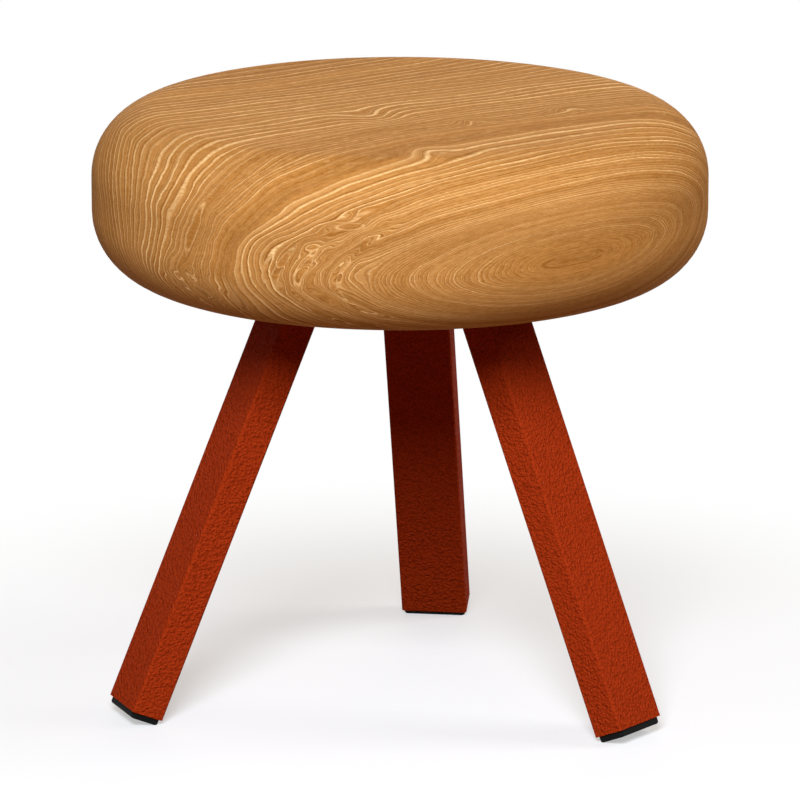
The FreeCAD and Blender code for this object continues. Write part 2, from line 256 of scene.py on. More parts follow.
# %% [markdown]
# ## Elm, turned and oiled
# Elm shows pale wavy lines on a golden-brown ground. They are the growth rings of the trunk, and the
# slab's surface only cuts through them: long lines on the top, upright lines on the left of the rim,
# and rings inside rings on the front, where the rim runs along the layers. A picture of grain wrapped
# round the slab could never do that, so the finish is a solid one: every point of the wood knows how
# deep it lies in the trunk, and the surface shows what it cuts.
#
# Depth is counted in millimetres from the front right of the rim, across the layers. `GRAIN_AZIMUTH` is
# the way in which the fibres run. The layers bend and fan out a little along the fibres, they lean, and
# near the front they are folded like a book round a line that rises slightly to the right.

# %% Layers of the trunk
# Lengths are in millimetres. The small numbers bend the layers with the place along the fibres or the height.
GRAIN_AZIMUTH = math.radians(43.0)
SEAT_RADIUS = 180.0
SEAT_MIDDLE = 303.0
FAN_TURN, FAN_BOW = -0.00014, -0.0000058
FRONT_TURN, FRONT_BOW = 0.064, 0.0011
LEAN = -0.0018
FOLD_SLOPE, FOLD_REACH = 1.9, 110.0
FOLD_ROUND, FOLD_HEIGHT, FOLD_RISE = 12.0, -7.0, 0.075
CUP, CUP_START, CUP_LOW, CUP_HIGH = 0.00014, 160.0, -5.0, 42.0


def add_layers(tree):
    """Place of a point in the trunk: along the fibres, depth across the layers, and height."""
    coordinates = add_node(tree, "TexCoord")
    place = add_node(
        tree,
        "Mapping",
        {
            "Vector": coordinates.outputs["Object"],
            "Location": (0, SEAT_RADIUS, -SEAT_MIDDLE),
            "Rotation": (0, 0, -GRAIN_AZIMUTH),
            "Scale": (1 / MM, 1 / MM, 1 / MM),
        },
    )
    parts = add_node(tree, "SeparateXYZ", {0: place})
    along, across, up = parts.outputs["X"], parts.outputs["Y"], parts.outputs["Z"]
    fan = add_node(tree, "Math", {0: along, 1: FAN_BOW, 2: FAN_TURN}, operation="MULTIPLY_ADD")
    fan = add_node(tree, "Math", {0: fan, 1: along, 2: 1.0}, operation="MULTIPLY_ADD")
    fan = add_node(tree, "Math", {0: up, 1: LEAN, 2: fan}, operation="MULTIPLY_ADD")
    bow = add_node(tree, "Math", {0: along, 1: FRONT_BOW, 2: FRONT_TURN}, operation="MULTIPLY_ADD")
    bow = add_node(tree, "Math", {0: bow, 1: along}, operation="MULTIPLY")
    depth = add_node(tree, "Math", {0: across, 1: fan, 2: bow}, operation="MULTIPLY_ADD")

    crease = add_node(tree, "Math", {0: along, 1: FOLD_RISE, 2: FOLD_HEIGHT}, operation="MULTIPLY_ADD")
    above = add_node(tree, "Math", {0: up, 1: crease}, operation="SUBTRACT")
    leaf = add_node(tree, "Math", {0: above, 1: above, 2: FOLD_ROUND ** 2}, operation="MULTIPLY_ADD")
    leaf = add_node(tree, "Math", {0: leaf}, operation="SQRT")
    leaf = add_node(tree, "Math", {0: leaf, 1: FOLD_ROUND}, operation="SUBTRACT")
    fading = add_node(tree, "Math", {0: across, 1: -1 / FOLD_REACH}, operation="MULTIPLY")
    fading = add_node(tree, "Math", {0: fading}, operation="EXPONENT")
    slope = add_node(tree, "Math", {0: fading, 1: FOLD_SLOPE}, operation="MULTIPLY")
    depth = add_node(tree, "Math", {0: leaf, 1: slope, 2: depth}, operation="MULTIPLY_ADD")

    # Further back the layers curve up like a stack of bowls.
    rise = add_node(
        tree,
        "MapRange",
        {"Value": up, "From Min": CUP_LOW, "From Max": CUP_HIGH, "To Max": CUP_HIGH - CUP_LOW},
    )
    rise = add_node(tree, "Math", {0: rise, 1: rise}, operation="MULTIPLY")
    rise = add_node(tree, "Math", {0: rise, 1: -CUP}, operation="MULTIPLY")
    beyond = add_node(tree, "Math", {0: depth, 1: CUP_START}, operation="SUBTRACT")
    beyond = add_node(tree, "Math", {0: beyond, 1: 0.0}, operation="MAXIMUM")
    depth = add_node(tree, "Math", {0: rise, 1: beyond, 2: depth}, operation="MULTIPLY_ADD")
    return add_node(tree, "CombineXYZ", {"X": along, "Y": depth, "Z": up})


print("fibres run at", round(math.degrees(GRAIN_AZIMUTH)), "degrees from the stool's right")

# %% [markdown]
# Real layers wander. Broad waves bend them, small ones make them quiver, and in two zones on the left
# of the front they are thrown about by burls. The larger knots are placed one by one, because the eye
# finds them at once: each pushes the layers aside round its middle. All of this is worked out in the
# trunk's own coordinates, so a wave stays stretched along the layers wherever they turn.

# %% Waves and burls
# Waves: size along the fibres, across the layers and upwards, then height, all in millimetres.
WAVES = (
    (200, 60, 60, 4.0),
    (70, 15, 16, 2.4),
    (24, 4, 5, 0.6),
)
# Each wave starts at another place in the noise, so that no two are alike.
WAVE_START = (7.3, 3.1, 5.7)
# Thrown zones: a wave, then where it fades in and out along the fibres, in depth and in height.
THROWN_ZONES = (
    ((34, 9, 15, 11.0), (-88, -112), (57, 67, 91, 99), (34, 18)),
    ((34, 9, 9, 7.0), (-120, -145), (122, 134, 162, 172), (-8, -20)),
)
# Burls: place along the fibres, depth and height; reach in the same order; push across the layers.
BURLS = (
    ((-129, 66, -6), (26, 14, 14), -11),
    ((-157, 107, 0), (45, 15, 13), -9),
    ((-154, 138, -52), (45, 30, 19), -16),
    ((-176, 154, -18), (25, 8, 8), -6),
    ((-175, 172, -28), (30, 15, 12), -10),
    ((-60, 114, 50), (13, 7, 30), -6.5),
    ((-31, 165, 50), (15, 10, 40), 8),
    ((8, 139, 50), (9, 6, 30), -5),
    ((75, 141, 50), (12, 6, 30), -4),
    ((20, 128, 50), (130, 14, 25), 4.5),
)


def add_all(tree, values, operation):
    """Join several values by one operation, such as ADD or MAXIMUM."""
    total = values[0]
    for value in values[1:]:
        total = add_node(tree, "Math", {0: total, 1: value}, operation=operation)
    return total


def add_waves(tree, layers, waves):
    """Sum of some waves, in millimetres."""
    shifts = []
    for number, (along, across, up, height) in enumerate(waves):
        start = [number * offset for offset in WAVE_START]
        stretched = add_node(
            tree,
            "VectorMath",
            {0: layers, 1: (1 / along, 1 / across, 1 / up), 2: start},
            operation="MULTIPLY_ADD",
        )
        noise = add_node(tree, "TexNoise", {"Vector": stretched, "Scale": 1.0, "Detail": 1.0}).outputs["Fac"]
        shift = add_node(tree, "Math", {0: noise, 1: 2 * height, 2: -height}, operation="MULTIPLY_ADD")
        shifts.append(shift)
    return add_all(tree, shifts, "ADD")


def add_burls(tree, layers):
    """Sum of the pushes of the burls, in millimetres."""
    shifts = []
    for centre, reach, push in BURLS:
        offset = add_node(tree, "VectorMath", {0: layers, 1: centre}, operation="SUBTRACT")
        offset = add_node(tree, "VectorMath", {0: offset, 1: reach}, operation="DIVIDE")
        square = add_node(tree, "VectorMath", {0: offset, 1: offset}, operation="DOT_PRODUCT")
        fall = add_node(tree, "Math", {0: square.outputs["Value"], 1: -1.0}, operation="MULTIPLY")
        fall = add_node(tree, "Math", {0: fall}, operation="EXPONENT")
        shifts.append(add_node(tree, "Math", {0: fall, 1: push}, operation="MULTIPLY"))
    return add_all(tree, shifts, "ADD")


def add_shift(tree, layers, shift):
    """Layers moved along their depth by some millimetres."""
    shift = add_node(tree, "CombineXYZ", {"Y": shift})
    return add_node(tree, "VectorMath", {0: layers, 1: shift}, operation="ADD")


def add_zone(tree, layers, along, depths, heights, most):
    """A value that is most inside a zone of the trunk and fades to nothing at its edges."""
    parts = add_node(tree, "SeparateXYZ", {0: layers})
    edges = (
        (parts.outputs["X"], along[0], along[1]),
        (parts.outputs["Y"], depths[0], depths[1]),
        (parts.outputs["Y"], depths[3], depths[2]),
        (parts.outputs["Z"], heights[0], heights[1]),
    )
    shares = [most]
    for value, outside, inside in edges:
        share = add_node(
            tree,
            "MapRange",
            {"Value": value, "From Min": outside, "From Max": inside},
            interpolation_type="SMOOTHSTEP",
        )
        shares.append(share)
    return add_all(tree, shares, "MULTIPLY")


def add_throw(tree, layers):
    """How far the thrown zones and the burls move the layers, in millimetres."""
    shifts = [add_burls(tree, layers)]
    for wave, along, depths, heights in THROWN_ZONES:
        thrown = add_waves(tree, layers, [wave])
        shifts.append(add_zone(tree, layers, along, depths, heights, thrown))
    return add_all(tree, shifts, "ADD")


print(len(WAVES), "waves,", len(THROWN_ZONES), "thrown zones,", len(BURLS), "burls")

# %% [markdown]
# Here and there the layers close round an eye: a narrow loop, or a pale spindle filled right up. Each
# eye is an ellipsoid in the trunk. Its shell is drawn as a pale line, the lines inside it are dimmed,
# and those beside it bend away.

# %% Eyes
# Eyes: place along the fibres, depth and height; half size in the same order; whether the eye is filled.
EYES = (
    ((-175, 147, 7), (18, 2.4, 15), False),
    ((-178, 162, 15), (18, 1.3, 14), True),
    ((-143, 81.5, -9), (10, 2.0, 9), False),
    ((-126, 84.5, 17.5), (9, 5.0, 2.0), False),
    ((-151, 94, -8), (10, 2.2, 12), False),
    ((-132, 66, -14), (10, 2.0, 14), False),
    ((-155, 101.5, -5), (10, 1.1, 4.5), True),
    ((-155, 99, -17), (10, 1.6, 2.5), True),
    ((-90, 95.5, 40), (12, 1.3, 6), True),
    ((-119, 89, 25), (10, 1.4, 3), True),
    ((-57, 110, 50), (4, 1.2, 20), True),
    ((8, 140, 50), (5, 1.2, 20), True),
)
# Where an eye's paleness fades, and where the lines inside it dim, as shares of its half size.
FILLED_FADE = (0.3, 1.3)
LOOP_FADE = (0.0, 0.26)
DIMMED_INSIDE = (0.4, 1.2)
# How pale an eye is, and how much of the lines inside it is left, as shares of a full line.
EYE_PALENESS = 0.52
LINES_INSIDE = 0.45
# How far an eye pushes its neighbours, as a share of its half size, and how fast that falls off.
EYE_PUSH = 0.9
EYE_PUSH_FALL = 0.35


def add_eyes(tree, layers):
    """Pale shells of the eyes, what is left of other lines, and how far the eyes push the layers aside."""
    shells = []
    lines_left = []
    pushes = []
    for centre, half_size, filled in EYES:
        offset = add_node(tree, "VectorMath", {0: layers, 1: centre}, operation="SUBTRACT")
        offset = add_node(tree, "VectorMath", {0: offset, 1: half_size}, operation="DIVIDE")
        distance = add_node(tree, "VectorMath", {0: offset}, operation="LENGTH").outputs["Value"]
        rim = distance
        if not filled:
            rim = add_node(tree, "Math", {0: distance, 1: 1.0}, operation="SUBTRACT")
            rim = add_node(tree, "Math", {0: rim}, operation="ABSOLUTE")
        narrow, wide = FILLED_FADE if filled else LOOP_FADE
        shell = add_node(
            tree,
            "MapRange",
            {"Value": rim, "From Min": wide, "From Max": narrow, "To Max": EYE_PALENESS},
            interpolation_type="SMOOTHSTEP",
        )
        shells.append(shell)
        inner, outer = DIMMED_INSIDE
        left = add_node(
            tree,
            "MapRange",
            {"Value": distance, "From Min": inner, "From Max": outer, "To Min": LINES_INSIDE},
            interpolation_type="SMOOTHSTEP",
        )
        lines_left.append(left)
        fall = add_node(tree, "Math", {0: distance, 1: 2.0}, operation="POWER")
        fall = add_node(tree, "Math", {0: fall, 1: -EYE_PUSH_FALL}, operation="MULTIPLY")
        fall = add_node(tree, "Math", {0: fall}, operation="EXPONENT")
        side = add_node(tree, "SeparateXYZ", {0: offset}).outputs["Y"]
        aside = add_node(tree, "Math", {0: side, 1: -half_size[1] * EYE_PUSH}, operation="MULTIPLY")
        pushes.append(add_node(tree, "Math", {0: aside, 1: fall}, operation="MULTIPLY"))
    return (
        add_all(tree, shells, "MAXIMUM"),
        add_all(tree, lines_left, "MINIMUM"),
        add_all(tree, pushes, "ADD"),
    )


print(len(EYES), "eyes")

# %% [markdown]
# The tree grew fast in some years and slowly in others, so the widths of its rings are listed, and a
# curve through their sums gives the number of the ring at every depth. A second curve says how clear
# the rings are. Both lists are rounded readings from the photo, changed since. A noise with one
# period would be shorter, but then the rings would look printed.

# %% Rings
# Years of growth from the front in: how many rings, and how wide each of them is in millimetres.
GROWTH = (
    (29, 1.3), (3, 1.5), (3, 1.6), (2, 1.7), (2, 1.8), (3, 2.2), (12, 2.5), (1, 3), (3, 3.5), (2, 4.8),
    (2, 4.2), (2, 4.7), (1, 3), (4, 1.7), (3, 3.4), (2, 3.3), (2, 4), (3, 3.7), (3, 3.8), (3, 4.2), (9, 4),
    (2, 5.5), (1, 7.8),
)
DEEPEST = sum(count * width for count, width in GROWTH)
# How clear the rings are: depth in millimetres, then a share from nought to one.
CLEARNESS = (
    (0, 0.1), (10, 0.2), (13, 0.4), (14.3, 0.9), (15.6, 0.4), (20, 0.4), (21.2, 0.9), (22.4, 0.4), (27, 0.4),
    (28.3, 0.9), (29.5, 0.4), (32, 0.4), (33.3, 0.9), (35, 0.4), (44, 0.6), (51, 0.7), (53, 1.0), (57, 1.0),
    (59, 0.4), (63, 0.4), (65, 0.9), (69, 0.9), (72, 0.45), (76, 0.45), (79, 1.0), (82, 1.0), (84, 0.5),
    (89, 0.5), (91, 1.0), (98, 0.9), (112, 1.0), (115, 1.0), (117, 0.12), (129, 0.15), (131, 1.0), (133, 0.7),
    (141, 0.7), (144, 0.3), (149, 0.35), (151, 1.0), (154, 0.6), (158, 0.8), (165, 0.85), (201, 0.85),
    (205, 0.8), (238, 0.65), (241, 0.9), (244, 0.5), (256, 0.5),
)
# Places where faint rings grow clear again: along the fibres, in depth and in height, and how clear.
CLEAR_ZONES = (
    ((-110, -135), (112, 118, 165, 175), (-14, -24), 0.85),
    ((-60, 0), (122, 126, 160, 168), (30, 48), 0.7),
)


def add_curve(tree, depth, points, highest):
    """Value of a curve through points of depth and value, at a depth in millimetres."""
    share = add_node(tree, "Math", {0: depth, 1: DEEPEST}, operation="DIVIDE")
    curve = add_node(tree, "FloatCurve", {"Value": share})
    curve.mapping.extend = "EXTRAPOLATED"
    line = curve.mapping.curves[0]
    for _ in points[1:-1]:
        line.points.new(0.0, 0.0)
    for point, (at, value) in zip(line.points, points):
        point.location = (at / DEEPEST, value / highest)
        point.handle_type = "VECTOR"
    curve.mapping.update()
    return add_node(tree, "Math", {0: curve, 1: highest}, operation="MULTIPLY")


def add_rings(tree, depth):
    """Number of the ring at a depth, half a ring back, so that a year ends in the middle of its pale line."""
    points = [(0, 0)]
    for count, width in GROWTH:
        last_depth, last_ring = points[-1]
        points.append((last_depth + count * width, last_ring + count))
    rings = add_curve(tree, depth, points, points[-1][1])
    return add_node(tree, "Math", {0: rings, 1: 0.5}, operation="SUBTRACT")


def add_clearness(tree, depth, layers):
    """How clear the rings are at a depth and in the zones where they grow clear again."""
    clear = [add_curve(tree, depth, CLEARNESS, 1.0)]
    for along, depths, heights, most in CLEAR_ZONES:
        clear.append(add_zone(tree, layers, along, depths, heights, most))
    return add_all(tree, clear, "MAXIMUM")


print(sum(count for count, width in GROWTH), "rings in", round(DEEPEST), "mm")

# %% [markdown]
# A ring is a thin pale line, with a dark edge behind it where the growth of the year ended. No two
# lines are equally bright or wide, each comes and goes along its length, and its pores break it up into
# rows. Between the rings run finer, fainter lines, and short flecks where the rays of the wood are cut.
# On the flat top the surface cuts the layers at another angle than on the rim, so some values change on
# the way up.

# %% Pale and dark lines
# Sizes of streaks along the fibres, across the layers and upwards, in millimetres.
# Real fibres and pores are too fine for the picture, so they are drawn two or three times as coarse.
SWELL_SIZE = (55, 9, 35)
FLECK_SIZE = (11, 2.2, 2.6)
MOTTLE_SIZE = (6, 2.2, 2.5)
FIBRE_SIZE = (16, 0.9, 0.9)
PORE_SIZE = (3, 0.7, 0.7)
# Heights over the middle of the seat between which the rim turns into the top.
RIM_HEIGHT, TOP_HEIGHT = 25, 48
# Pale lines: where one starts and is full, on a scale that reaches 0.5 in its middle, and its strength.
LINE_EDGE_RIM, LINE_EDGE_TOP, LINE_EDGE_LUCK = 0.39, 0.34, 0.1
LINE_FULL = 0.47
LINE_LEAST, LINE_LUCK = 0.36, 0.6
SWELL_LEAST, SWELL = 0.15, 1.8
PORE_RANGE, PORE_ROWS = (0.35, 0.65), (0.55, 1.2)
# Late wood: how far behind the pale line it lies, in rings, where it starts and is full, and its strength.
LATE_PLACE = 0.24
LATE_EDGE, LATE_FULL = 0.28, 0.45
LATE_LEAST, LATE_RIM, LATE_TOP = 0.12, 0.5, 0.3
# Fine lines: how many in a ring, how far noise of some millimetres moves them, their edge and strength.
FINE_LINES = 2.6
FINE_SHIFT, FINE_SHIFT_SIZE = 3.0, 4.0
FINE_EDGE = 0.15
FINE_LEAST, FINE_MOST = 0.08, 0.24
# Flecks: the range of the noise that shows, and their strength.
FLECK_RANGE = (0.52, 0.72)
FLECK_LEAST, FLECK_RIM, FLECK_TOP = 0.05, 0.1, 0.25


def add_streaks(tree, layers, size, detail=3.0):
    """Noise in streaks of a size along the fibres, across the layers and upwards."""
    shrink = [1 / length for length in size]
    place = add_node(tree, "VectorMath", {0: layers, 1: shrink}, operation="MULTIPLY")
    return add_node(tree, "TexNoise", {"Vector": place, "Scale": 1.0, "Detail": detail}).outputs["Fac"]


def add_rim_to_top(tree, height, rim, top):
    """A value that changes from the rim to the top."""
    heights = {"Value": height, "From Min": RIM_HEIGHT, "From Max": TOP_HEIGHT}
    return add_node(tree, "MapRange", heights | {"To Min": rim, "To Max": top})


def add_pale_lines(tree, layers, rings, clear, height, pores):
    """One pale line for each ring, wider and brighter in some years than in others."""
    ring_number = add_node(tree, "Math", {0: rings}, operation="FLOOR")
    luck = add_node(tree, "TexWhiteNoise", {"W": ring_number}, noise_dimensions="1D").outputs["Value"]
    edge = add_rim_to_top(tree, height, LINE_EDGE_RIM, LINE_EDGE_TOP)
    edge = add_node(tree, "Math", {0: luck, 1: -LINE_EDGE_LUCK, 2: edge}, operation="MULTIPLY_ADD")
    middle = add_node(tree, "Math", {0: rings, 1: 0.5}, operation="PINGPONG")
    line = add_node(
        tree,
        "MapRange",
        {"Value": middle, "From Min": edge, "From Max": LINE_FULL},
        interpolation_type="SMOOTHSTEP",
    )
    strength = add_node(tree, "Math", {0: luck, 1: LINE_LUCK, 2: LINE_LEAST}, operation="MULTIPLY_ADD")
    swell = add_streaks(tree, layers, SWELL_SIZE, detail=2.0)
    swell = add_node(tree, "Math", {0: swell, 1: SWELL, 2: SWELL_LEAST}, operation="MULTIPLY_ADD")
    rows = add_node(
        tree,
        "MapRange",
        {
            "Value": pores,
            "From Min": PORE_RANGE[0],
            "From Max": PORE_RANGE[1],
            "To Min": PORE_ROWS[0],
            "To Max": PORE_ROWS[1],
        },
    )
    return add_all(tree, [line, strength, swell, clear, rows], "MULTIPLY")


def add_late_wood(tree, rings, clear, height):
    """A dark edge behind each pale line, where the growth of a year came to its end."""
    late = add_node(tree, "Math", {0: rings, 1: LATE_PLACE}, operation="SUBTRACT")
    late = add_node(tree, "Math", {0: late, 1: 0.5}, operation="PINGPONG")
    most = add_rim_to_top(tree, height, LATE_RIM, LATE_TOP)
    strength = add_node(tree, "MapRange", {"Value": clear, "To Min": LATE_LEAST, "To Max": most})
    return add_node(
        tree,
        "MapRange",
        {"Value": late, "From Min": LATE_EDGE, "From Max": LATE_FULL, "To Max": strength},
        interpolation_type="SMOOTHSTEP",
    )


def add_fine_lines(tree, depth, rings, clear):
    """Fine pale lines between the rings, at uneven distances."""
    uneven = add_node(
        tree,
        "TexNoise",
        {"W": depth, "Scale": 1 / FINE_SHIFT_SIZE, "Detail": 2.0},
        noise_dimensions="1D",
    )
    lines = add_node(
        tree, "Math", {0: uneven.outputs["Fac"], 1: FINE_SHIFT, 2: rings}, operation="MULTIPLY_ADD"
    )
    lines = add_node(tree, "Math", {0: lines, 1: FINE_LINES}, operation="MULTIPLY")
    middle = add_node(tree, "Math", {0: lines, 1: 0.5}, operation="PINGPONG")
    strength = add_node(tree, "MapRange", {"Value": clear, "To Min": FINE_LEAST, "To Max": FINE_MOST})
    return add_node(
        tree,
        "MapRange",
        {"Value": middle, "From Min": FINE_EDGE, "From Max": 0.5, "To Max": strength},
        interpolation_type="SMOOTHSTEP",
    )


def add_flecks(tree, dashes, clear, height):
    """Short pale dashes, clearest where the rings are faint."""
    most = add_rim_to_top(tree, height, FLECK_RIM, FLECK_TOP)
    strength = add_node(tree, "MapRange", {"Value": clear, "To Min": most, "To Max": FLECK_LEAST})
    low, high = FLECK_RANGE
    return add_node(
        tree,
        "MapRange",
        {"Value": dashes, "From Min": low, "From Max": high, "To Max": strength},
        interpolation_type="SMOOTHSTEP",
    )


print("lines, late wood, fine lines and flecks ready")

# %% [markdown]
# The ground under the lines has broad paler and darker years, is darker at the heart and where rings
# are faint, and has a mottle, fibres and pores. The seat is sanded and oiled: the oil fills the wood
# but builds no film, so it stays rather dull. Sanding leaves the pores open, and the pale wood of each
# line softer, duller and a little lower.

# %% Elm
ELM_GROUND = "#C28542"
ELM_DARK = "#955D22"
ELM_LINE = "#F4C686"
# Tone of the ground: how often broad years change in a millimetre of depth, and the shares of the patterns.
# Then the heart in front, and the range of the sum that goes from dark to pale.
YEARS_SCALE, YEARS_SHARE = 0.06, 0.7
CLEAR_SHARE = 0.35
MOTTLE_SHARE, FIBRE_SHARE, PORE_SHARE = 1.0, 0.7, 0.7
HEART_DEPTH = 3
HEART_TONE, OTHER_TONE = -0.65, -0.25
TONE_RANGE = (1.0, 2.0)
# The flecks' noise breaks up the outlines of the eyes: its range, and how much of an outline is always left.
BREAK_RANGE, BREAK_LEAST = (0.38, 0.6), 0.3
# Relief in millimetres, and how much lower a line lies, as a share of it.
ELM_RELIEF = 0.06
LINE_RELIEF = 0.4
RELIEF_RANGE = (0.1, 0.7)
PORE_ROUGHNESS, SANDED_ROUGHNESS = 0.72, 0.58


def add_ground(tree, layers, depth, clear, pores):
    """Tone of the wood between its lines, from nought for dark to one for pale."""
    years = add_node(
        tree, "TexNoise", {"W": depth, "Scale": YEARS_SCALE, "Detail": 2.0}, noise_dimensions="1D"
    )
    tone = add_node(
        tree,
        "MapRange",
        {"Value": depth, "From Max": HEART_DEPTH, "To Min": HEART_TONE, "To Max": OTHER_TONE},
    )
    shares = (
        (years.outputs["Fac"], YEARS_SHARE),
        (clear, CLEAR_SHARE),
        (add_streaks(tree, layers, MOTTLE_SIZE), MOTTLE_SHARE),
        (add_streaks(tree, layers, FIBRE_SIZE), FIBRE_SHARE),
        (pores, PORE_SHARE),
    )
    for pattern, share in shares:
        tone = add_node(tree, "Math", {0: pattern, 1: share, 2: tone}, operation="MULTIPLY_ADD")
    low, high = TONE_RANGE
    return add_node(tree, "MapRange", {"Value": tone, "From Min": low, "From Max": high})


def make_elm():
    """Solid elm, sanded and oiled: wavy pale lines on brown, and no gloss to speak of."""
    material, tree, surface = new_material("elm_turned_and_oiled")
    layers = add_layers(tree)
    height = add_node(tree, "SeparateXYZ", {0: layers}).outputs["Z"]
    wavy = add_shift(tree, layers, add_waves(tree, layers, WAVES))
    shells, lines_left, push = add_eyes(tree, wavy)
    push = add_node(tree, "Math", {0: push, 1: add_throw(tree, layers)}, operation="ADD")
    wandering = add_shift(tree, wavy, push)
    depth = add_node(tree, "SeparateXYZ", {0: wandering}).outputs["Y"]
    rings = add_rings(tree, depth)
    clear = add_clearness(tree, depth, wavy)
    pores = add_streaks(tree, wandering, PORE_SIZE)
    dashes = add_streaks(tree, wandering, FLECK_SIZE)

    lines = (
        add_pale_lines(tree, wandering, rings, clear, height, pores),
        add_fine_lines(tree, depth, rings, clear),
        add_flecks(tree, dashes, clear, height),
    )
    line = add_all(tree, lines, "MAXIMUM")
    line = add_node(tree, "Math", {0: line, 1: lines_left}, operation="MULTIPLY")
    low, high = BREAK_RANGE
    broken = add_node(
        tree, "MapRange", {"Value": dashes, "From Min": low, "From Max": high, "To Min": BREAK_LEAST}
    )
    shells = add_node(tree, "Math", {0: shells, 1: broken}, operation="MULTIPLY")
    line = add_node(tree, "Math", {0: line, 1: shells}, operation="MAXIMUM")

    tone = add_ground(tree, wandering, depth, clear, pores)
    late = add_late_wood(tree, rings, clear, height)
    tone = add_node(tree, "Math", {0: tone, 1: late}, operation="SUBTRACT", use_clamp=True)
    ground = add_node(
        tree, "Mix", {0: tone, 6: linear(ELM_DARK), 7: linear(ELM_GROUND)}, data_type="RGBA"
    )
    colour = add_node(tree, "Mix", {0: line, 6: ground.outputs[2], 7: linear(ELM_LINE)}, data_type="RGBA")
    tree.links.new(colour.outputs[2], surface.inputs["Base Color"])

    relief = add_node(tree, "Math", {0: line, 1: -LINE_RELIEF, 2: pores}, operation="MULTIPLY_ADD")
    bump = add_node(tree, "Bump", {"Height": relief, "Distance": ELM_RELIEF * MM, "Strength": 1.0})
    tree.links.new(bump.outputs[0], surface.inputs["Normal"])
    roughness = add_node(
        tree,
        "MapRange",
        {
            "Value": relief,
            "From Min": RELIEF_RANGE[0],
            "From Max": RELIEF_RANGE[1],
            "To Min": PORE_ROUGHNESS,
            "To Max": SANDED_ROUGHNESS,
        },
    )
    tree.links.new(roughness.outputs[0], surface.inputs["Roughness"])
    surface.inputs["IOR"].default_value = 1.47
    surface.inputs["Specular IOR Level"].default_value = 0.01
    return material


elm = make_elm()
print("made", elm.name, "with", len(elm.node_tree.nodes), "nodes")

# %% [markdown]
# ## Powder coat on the legs
# Powder is sprayed on dry and melted in an oven. The textured kind shrinks as it flows and leaves a
# leathery surface of small bumps up to two millimetres across, which breaks up every reflection.
# Rounded cells make the bumps and a finer noise roughens them; both go into the bump, and a little
# into the colour as painted shade, a darker red in the hollows.

# %% Powder coat
PAINT_RED = "#AA3611"
# The darker red of the hollows is painted shade.
PAINT_SHADED_HOLLOW = "#942D0C"
# Sizes in millimetres. Real grit is finer, but would not show in the picture.
CELL_OF_PAINT = 1.9
GRIT_OF_PAINT = 0.9
PAINT_RELIEF = 1.1
# How deep the edges of the cells lie beside the grit, and the range of heights from hollow to bump.
CELL_SHARE = 0.9
HOLLOW_RANGE = (-0.25, 0.3)
HOLLOW_ROUGHNESS, BUMP_ROUGHNESS = 0.68, 0.55


def make_powder_coat():
    """Textured red-brown polyester powder: leathery bumps, a dull half gloss."""
    material, tree, surface = new_material("powder_coat_textured_red_brown")
    coordinates = add_node(tree, "TexCoord")
    place = coordinates.outputs["Object"]
    cells = add_node(
        tree,
        "TexVoronoi",
        {"Vector": place, "Scale": 1 / (CELL_OF_PAINT * MM), "Smoothness": 0.5},
        feature="SMOOTH_F1",
    )
    grit = add_node(
        tree, "TexNoise", {"Vector": place, "Scale": 1 / (GRIT_OF_PAINT * MM), "Detail": 2.0}
    )
    height = add_node(
        tree,
        "Math",
        {0: cells.outputs["Distance"], 1: -CELL_SHARE, 2: grit.outputs["Fac"]},
        operation="MULTIPLY_ADD",
    )
    relief = add_node(tree, "Bump", {"Height": height, "Distance": PAINT_RELIEF * MM, "Strength": 1.0})
    tree.links.new(relief.outputs[0], surface.inputs["Normal"])
    low, high = HOLLOW_RANGE
    raised = add_node(tree, "MapRange", {"Value": height, "From Min": low, "From Max": high})
    # Painted shade: the colour turns to the darker red in the hollows of the bumps.
    colour = add_node(
        tree, "Mix", {0: raised, 6: linear(PAINT_SHADED_HOLLOW), 7: linear(PAINT_RED)}, data_type="RGBA"
    )
    tree.links.new(colour.outputs[2], surface.inputs["Base Color"])
    roughness = add_node(
        tree, "MapRange", {"Value": raised, "To Min": HOLLOW_ROUGHNESS, "To Max": BUMP_ROUGHNESS}
    )
    tree.links.new(roughness.outputs[0], surface.inputs["Roughness"])
    surface.inputs["IOR"].default_value = 1.5
    surface.inputs["Specular IOR Level"].default_value = 0.01
    return material


powder_coat = make_powder_coat()
print("made", powder_coat.name)

# %% [markdown]
# ## Black polyethylene of the foot plugs
# The plugs are injection moulded. The tool is etched, which leaves a fine grain on the plastic, and the
# lower edge that rubs on floors has gone paler and duller. Both come from the place of the point: noise
# for the grain, and the height over the floor, broken up by noise, for the wear.

# %% Polyethylene
PLASTIC_BLACK = "#131413"
PLASTIC_WORN = "#2B2C2A"
# Sizes in millimetres.
GRAIN_OF_PLASTIC = 0.7
PLASTIC_RELIEF = 0.12
WEAR_HEIGHT = 2.5
PLASTIC_ROUGH_LOW, PLASTIC_ROUGH_HIGH = 0.5, 0.75


